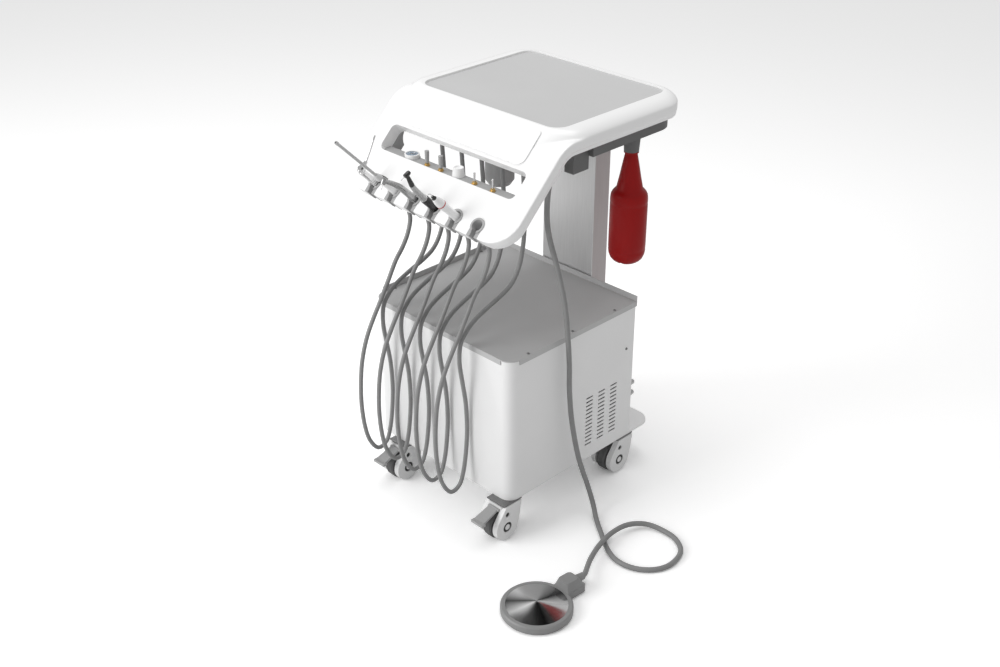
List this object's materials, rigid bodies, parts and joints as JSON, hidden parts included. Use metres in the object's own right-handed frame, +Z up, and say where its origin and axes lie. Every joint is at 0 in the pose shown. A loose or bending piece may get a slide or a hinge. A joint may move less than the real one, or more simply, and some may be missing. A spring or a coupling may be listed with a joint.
{
  "type": "portable dental unit",
  "caption": "Wheeled dental delivery cart: compressor cabinet, rear column, sloping instrument head with tray, handpieces on hoses, water bottle and foot control.",
  "frame": {"origin": "floor level under the middle of the whole stand, foot control included, hose left out", "axes": "+Z up, -Y towards the user at the instrument panel, +X towards the water bottle side"},
  "size_m": [0.8112, 0.74, 0.941],
  "materials": {
    "cabinet_white": "smooth white powder coat",
    "cabinet_grey": "light grey powder coat",
    "screw_steel": "dull steel",
    "pump_metal": "cast alloy, matt",
    "tank_paint": "satin paint",
    "fitting_metal": "nickel plate",
    "black_plastic": "matt black",
    "switch_red": "gloss",
    "column_grey": "satin warm grey",
    "column_brushed": "brushed",
    "head_white": "smooth white moulding",
    "pan_grey": "fine texture",
    "mat_grey": "smooth silicone",
    "liner_grey": "smooth",
    "brass": "polished",
    "lever_chrome": "polished",
    "instrument_steel": "satin chrome",
    "button_grey": "matt",
    "bur_steel": "bright",
    "instrument_white": "smooth",
    "hose_grey": "matt silicone",
    "bottle_red": "translucent blow-moulded",
    "pedal_grey": "fine texture",
    "disc_chrome": "mirror polish",
    "caster_white": "smooth",
    "wheel_grey": "smooth tread",
    "brake_grey": "smooth"
  },
  "bodies": {
    "stand": {"base_plate": "cabinet_white", "cabinet_wrap": "cabinet_white", "cabinet_back": "cabinet_grey", "top_cover": "cabinet_grey", "cover_screws": "screw_steel", "compressor_pump": "pump_metal", "air_tank": "tank_paint", "back_fittings": "fitting_metal", "power_inlet": "black_plastic", "column_post": "column_grey", "column_plate": "column_brushed", "head_shell": "head_white", "head_pan": "pan_grey", "tray_mat": "mat_grey", "cover_plate": "head_white", "control_tray": "liner_grey", "pressure_gauge": "head_white", "toggle_bushes": "brass", "holder_funnels": "liner_grey", "syringe_body": "instrument_steel", "ejector_handle": "instrument_white", "ejector_straw": "instrument_white", "turbine_handpiece": "instrument_steel", "contra_handpiece": "instrument_steel", "scaler_handpiece": "instrument_white", "hose_couplings": "screw_steel", "hose_glands": "pan_grey", "instrument_hose_1": "hose_grey", "instrument_hose_2": "hose_grey", "instrument_hose_3": "hose_grey", "instrument_hose_4": "hose_grey", "instrument_hose_5": "hose_grey", "foot_hose": "hose_grey", "bottle_cap": "pan_grey", "separator_cup": "liner_grey", "pedal_base": "pedal_grey", "caster_mounts": "screw_steel"},
    "hood_fr": {"caster_hood_fr": "caster_white"},
    "wheel_fr": {"caster_wheel_fr": "wheel_grey"},
    "hood_fl": {"caster_hood_fl": "caster_white"},
    "wheel_fl": {"caster_wheel_fl": "wheel_grey"},
    "hood_rr": {"caster_hood_rr": "caster_white"},
    "wheel_rr": {"caster_wheel_rr": "wheel_grey"},
    "hood_rl": {"caster_hood_rl": "caster_white"},
    "wheel_rl": {"caster_wheel_rl": "wheel_grey"},
    "brake_fr": {"brake_pedal_fr": "brake_grey"},
    "brake_fl": {"brake_pedal_fl": "brake_grey"},
    "toggle_lever_1": {"toggle_1": "liner_grey"},
    "toggle_lever_2": {"toggle_2": "liner_grey"},
    "toggle_lever_3": {"toggle_3": "lever_chrome"},
    "toggle_lever_4": {"toggle_4": "lever_chrome"},
    "knob": {"flow_knob": "head_white"},
    "syringe_air": {"syringe_air_button": "button_grey"},
    "syringe_water": {"syringe_water_button": "button_grey"},
    "turbine_spindle": {"turbine_bur": "bur_steel"},
    "contra_spindle": {"contra_bur": "bur_steel"},
    "bottle": {"water_bottle": "bottle_red"},
    "disc": {"pedal_disc": "disc_chrome"},
    "rocker": {"power_switch": "switch_red"}
  },
  "joints": [
    {"name": "caster_swivel_fr", "type": "hinge", "parent": "stand", "child": "hood_fr", "pos_m": [0.06475, -0.144, 0.085], "axis": [0, 0, 1], "continuous": true},
    {"name": "caster_roll_fr", "type": "hinge", "parent": "hood_fr", "child": "wheel_fr", "pos_m": [0.06475, -0.164, 0.037], "axis": [1, 0, 0], "continuous": true},
    {"name": "caster_swivel_fl", "type": "hinge", "parent": "stand", "child": "hood_fl", "pos_m": [-0.27325, -0.144, 0.085], "axis": [0, 0, 1], "continuous": true},
    {"name": "caster_roll_fl", "type": "hinge", "parent": "hood_fl", "child": "wheel_fl", "pos_m": [-0.27325, -0.164, 0.037], "axis": [1, 0, 0], "continuous": true},
    {"name": "caster_swivel_rr", "type": "hinge", "parent": "stand", "child": "hood_rr", "pos_m": [0.06475, 0.242, 0.085], "axis": [0, 0, 1], "continuous": true},
    {"name": "caster_roll_rr", "type": "hinge", "parent": "hood_rr", "child": "wheel_rr", "pos_m": [0.06475, 0.222, 0.037], "axis": [1, 0, 0], "continuous": true},
    {"name": "caster_swivel_rl", "type": "hinge", "parent": "stand", "child": "hood_rl", "pos_m": [-0.27325, 0.242, 0.085], "axis": [0, 0, 1], "continuous": true},
    {"name": "caster_roll_rl", "type": "hinge", "parent": "hood_rl", "child": "wheel_rl", "pos_m": [-0.27325, 0.222, 0.037], "axis": [1, 0, 0], "continuous": true},
    {"name": "brake_fr", "type": "hinge", "parent": "hood_fr", "child": "brake_fr", "pos_m": [0.06475, -0.178, 0.082], "axis": [1, 0, 0], "range_deg": [0, 12]},
    {"name": "brake_fl", "type": "hinge", "parent": "hood_fl", "child": "brake_fl", "pos_m": [-0.27325, -0.178, 0.082], "axis": [1, 0, 0], "range_deg": [0, 12]},
    {"name": "toggle_1", "type": "hinge", "parent": "stand", "child": "toggle_lever_1", "pos_m": [-0.19425, -0.12017, 0.82099], "axis": [1, 0, 0], "range_deg": [-12, 12]},
    {"name": "toggle_2", "type": "hinge", "parent": "stand", "child": "toggle_lever_2", "pos_m": [-0.15125, -0.12017, 0.82099], "axis": [1, 0, 0], "range_deg": [-12, 12]},
    {"name": "toggle_3", "type": "hinge", "parent": "stand", "child": "toggle_lever_3", "pos_m": [-0.04825, -0.12017, 0.82099], "axis": [1, 0, 0], "range_deg": [-12, 12]},
    {"name": "toggle_4", "type": "hinge", "parent": "stand", "child": "toggle_lever_4", "pos_m": [0.00575, -0.12017, 0.82099], "axis": [1, 0, 0], "range_deg": [-12, 12]},
    {"name": "flow_knob_turn", "type": "hinge", "parent": "stand", "child": "knob", "pos_m": [-0.10525, -0.11217, 0.81799], "axis": [0, 0, 1], "range_deg": [-135, 135]},
    {"name": "syringe_air_press", "type": "slide", "parent": "stand", "child": "syringe_air", "axis": [0, -0.7071, 0.7071], "range_m": [-0.0025, 0], "stiffness_N_per_m": 300, "springref_m": 0.002},
    {"name": "syringe_water_press", "type": "slide", "parent": "stand", "child": "syringe_water", "axis": [0, -0.7071, 0.7071], "range_m": [-0.0025, 0], "stiffness_N_per_m": 300, "springref_m": 0.002},
    {"name": "turbine_spin", "type": "hinge", "parent": "stand", "child": "turbine_spindle", "pos_m": [-0.16325, -0.26814, 0.83352], "axis": [0, -0.4226, -0.9063], "continuous": true},
    {"name": "contra_spin", "type": "hinge", "parent": "stand", "child": "contra_spindle", "pos_m": [-0.09925, -0.25966, 0.86463], "axis": [0, -0.891, -0.454], "continuous": true},
    {"name": "bottle_unscrew", "type": "hinge", "parent": "stand", "child": "bottle", "pos_m": [0.08275, 0.225, 0.834], "axis": [0, 0, 1], "range_deg": [0, 360]},
    {"name": "pedal_press", "type": "slide", "parent": "stand", "child": "disc", "axis": [0, 0, 1], "range_m": [-0.004, 0], "stiffness_N_per_m": 4000, "springref_m": 0.004},
    {"name": "switch_rock", "type": "hinge", "parent": "stand", "child": "rocker", "pos_m": [-0.28125, 0.2627, 0.215], "axis": [1, 0, 0], "range_deg": [-8, 8]}
  ]
}
